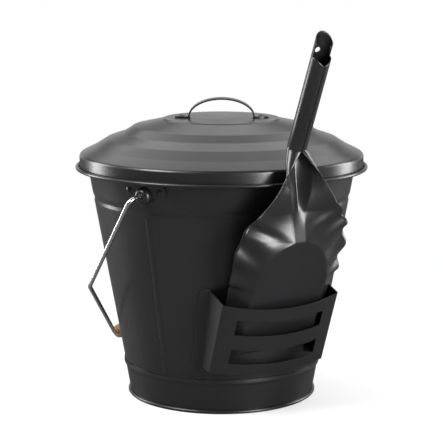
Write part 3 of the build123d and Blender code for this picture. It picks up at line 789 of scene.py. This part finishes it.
def grip_material():
    """Wood with grain along the grip, which lies along X."""
    material, tree, shader = new_material("Oiled grip wood")
    place = node(tree, "ShaderNodeTexCoord", (-1100, 0))
    stretch = node(tree, "ShaderNodeMapping", (-900, 0))
    stretch.inputs["Scale"].default_value = (0.08, 1.0, 1.0)
    grain = node(tree, "ShaderNodeTexNoise", (-700, 0))
    grain.inputs["Scale"].default_value = 420.0
    grain.inputs["Detail"].default_value = 6.0
    bump = node(tree, "ShaderNodeBump", (-300, -300))
    bump.inputs["Strength"].default_value = 0.25
    bump.inputs["Distance"].default_value = 0.0003
    spread = node(tree, "ShaderNodeMapRange", (-300, -100))
    spread.inputs["To Min"].default_value = 0.38
    spread.inputs["To Max"].default_value = 0.6
    link = tree.links.new
    link(place.outputs["Object"], stretch.inputs["Vector"])
    link(stretch.outputs["Vector"], grain.inputs["Vector"])
    link(grain.outputs["Fac"], bump.inputs["Height"])
    link(grain.outputs["Fac"], spread.inputs["Value"])
    link(bump.outputs["Normal"], shader.inputs["Normal"])
    link(spread.outputs["Result"], shader.inputs["Roughness"])
    colour = mixed_colour(tree, grain.outputs["Fac"], (0.30, 0.155, 0.07), (0.12, 0.055, 0.025))
    link(colour, shader.inputs["Base Color"])
    return material


wood = grip_material()
looks = {"black_steel": black, "bare_wire": bright, "grip_wood": wood, "hidden_wire": hidden}
print("looks:", [look.name for look in looks.values()])
slots = {entry["node"]: entry["material_slot"] for entry in frame["record"]["subparts"]}

# %% Give every piece its material
for name, cad in frame["nodes"].items():
    cad.data.materials.clear()
    cad.data.materials.append(looks[slots[name]])
for piece in (wall, foot, pan, lid, shovel, handle, seam_piece):
    piece.data.materials.append(black)
bail.data.materials.append(bright)
grip.data.materials.append(wood)
for name in ("ear_left", "ear_right", "shovel_pocket"):
    cad = frame["nodes"][name]
    cad.data.shade_smooth()
    cad.data.set_sharp_from_angle(angle=radians(30))
print("painted", len(frame["nodes"]), "nodes")

# %% [markdown]
# ## Floor, light and camera
# The photograph is a studio shot on white. A pale floor keeps the shadow, the world is
# white where the camera sees it, and large soft lamps make the long highlights.

# %% Floor
floor_mesh = bpy.data.meshes.new("Floor")
FLOOR_HALF_SIZE = 60.0
FLOOR_BELOW = 0.0002
corners = [(-1, -1), (1, -1), (1, 1), (-1, 1)]
floor_points = [(x * FLOOR_HALF_SIZE, y * FLOOR_HALF_SIZE, 0) for x, y in corners]
floor_mesh.from_pydata(floor_points, [], [(0, 1, 2, 3)])
floor = bpy.data.objects.new("Floor", floor_mesh)
bpy.context.scene.collection.objects.link(floor)
floor.location.z = -FLOOR_BELOW
floor_look, floor_tree, floor_shader = new_material("Pale floor")
floor_shader.inputs["Roughness"].default_value = 0.7
floor_mesh.materials.append(floor_look)
floor_place = node(floor_tree, "ShaderNodeTexCoord", (-900, -300))
floor_reach = node(floor_tree, "ShaderNodeVectorMath", (-700, -300))
floor_reach.operation = "LENGTH"
floor_fade = node(floor_tree, "ShaderNodeMapRange", (-500, -300))
floor_fade.inputs["From Min"].default_value = 0.15
floor_fade.inputs["From Max"].default_value = 0.75
floor_fade.inputs["To Min"].default_value = 0.45
floor_fade.inputs["To Max"].default_value = 1.0
floor_seen = node(floor_tree, "ShaderNodeLightPath", (-500, -600))
floor_share = node(floor_tree, "ShaderNodeMath", (-200, -400))
floor_share.operation = "MULTIPLY"
floor_white = node(floor_tree, "ShaderNodeEmission", (-200, -650))
floor_white.inputs["Color"].default_value = (1, 1, 1, 1)
floor_white.inputs["Strength"].default_value = 1.0
floor_mix = node(floor_tree, "ShaderNodeMixShader", (200, -300))
floor_link = floor_tree.links.new
# Painted reflection shade: the floor is 0.92 white for the camera and for bounced light, but only 0.08 in glossy
# rays, so the bucket's reflections of the floor are painted dark and the black walls read darker.
floor_colour_and_reflection_shade = node(floor_tree, "ShaderNodeMapRange", (-500, 200))
floor_colour_and_reflection_shade.inputs["To Min"].default_value = 0.92
floor_colour_and_reflection_shade.inputs["To Max"].default_value = 0.08
floor_link(floor_seen.outputs["Is Glossy Ray"], floor_colour_and_reflection_shade.inputs["Value"])
floor_link(floor_colour_and_reflection_shade.outputs["Result"], floor_shader.inputs["Base Color"])
floor_link(floor_place.outputs["Object"], floor_reach.inputs[0])
floor_link(floor_reach.outputs["Value"], floor_fade.inputs["Value"])
floor_link(floor_fade.outputs["Result"], floor_share.inputs[0])
floor_link(floor_seen.outputs["Is Camera Ray"], floor_share.inputs[1])
floor_link(floor_share.outputs["Value"], floor_mix.inputs["Fac"])
floor_link(floor_shader.outputs["BSDF"], floor_mix.inputs[1])
floor_link(floor_white.outputs["Emission"], floor_mix.inputs[2])
floor_out = floor_tree.nodes["Material Output"]
floor_link(floor_mix.outputs["Shader"], floor_out.inputs["Surface"])
print("floor is", 2 * FLOOR_HALF_SIZE, "m across")

# %% Camera
CAMERA_AZIMUTH = -56.8
CAMERA_PITCH = 10.0
CAMERA_DISTANCE = 1.891
CAMERA_HEIGHT = 0.541
LENS = 128.97
SENSOR = 36.0
camera_data = bpy.data.cameras.new("Camera")
camera_data.lens = LENS
camera_data.sensor_width = SENSOR
camera = bpy.data.objects.new("Camera", camera_data)
bpy.context.scene.collection.objects.link(camera)
azimuth = radians(CAMERA_AZIMUTH)
camera.location = (
    CAMERA_DISTANCE * sin(azimuth), -CAMERA_DISTANCE * cos(azimuth), CAMERA_HEIGHT
)
camera.rotation_euler = (radians(90 - CAMERA_PITCH), 0, azimuth)
bpy.context.scene.camera = camera
bpy.context.scene.view_settings.view_transform = "Standard"
print("camera at", tuple(round(v, 3) for v in camera.location))

# %% World
world = bpy.data.worlds.new("Studio")
bpy.context.scene.world = world
world.use_nodes = True
tree = world.node_tree
tree.nodes.clear()
seen = node(tree, "ShaderNodeLightPath", (-600, 300))
soft = node(tree, "ShaderNodeBackground", (-200, 0))
soft.inputs["Color"].default_value = (1, 1, 1, 1)
soft.inputs["Strength"].default_value = 0.06
white = node(tree, "ShaderNodeBackground", (-200, 200))
white.inputs["Color"].default_value = (1, 1, 1, 1)
white.inputs["Strength"].default_value = 1.0
choice = node(tree, "ShaderNodeMixShader", (100, 100))
out = node(tree, "ShaderNodeOutputWorld", (300, 100))
tree.links.new(seen.outputs["Is Camera Ray"], choice.inputs["Fac"])
tree.links.new(soft.outputs["Background"], choice.inputs[1])
tree.links.new(white.outputs["Background"], choice.inputs[2])
tree.links.new(choice.outputs["Shader"], out.inputs["Surface"])
print("world:", world.name)


# %% Lamps
AIM_HEIGHT = 0.2


def soft_box(name, turn, height, distance, width, tall, power):
    """Area lamp at an angle to the right of the camera, aimed at the bucket."""
    lamp_data = bpy.data.lights.new(name, "AREA")
    lamp_data.shape = "RECTANGLE"
    lamp_data.size = width
    lamp_data.size_y = tall
    lamp_data.energy = power
    lamp = bpy.data.objects.new(name, lamp_data)
    bpy.context.scene.collection.objects.link(lamp)
    lamp.visible_camera = False
    angle = radians(CAMERA_AZIMUTH + turn)
    lamp.location = (distance * sin(angle), -distance * cos(angle), height)
    aim = Vector((0, 0, AIM_HEIGHT)) - lamp.location
    lamp.rotation_euler = aim.to_track_quat("-Z", "Y").to_euler()


soft_box("Right softbox", 40, 0.4, 1.7, 0.4, 1.4, 50)
soft_box("Left high softbox", -60, 1.5, 1.5, 0.8, 0.8, 44)
soft_box("Overhead", 180, 2.2, 1.1, 3.4, 2.6, 52)
soft_box("Backdrop", 180, 0.6, 3.2, 4.5, 1.2, 14)
soft_box("Left edge", -112, 0.4, 1.6, 0.5, 1.3, 22)
soft_box("Right edge", 112, 0.4, 1.6, 0.5, 1.3, 22)
print("lamps:", len(bpy.data.lights))
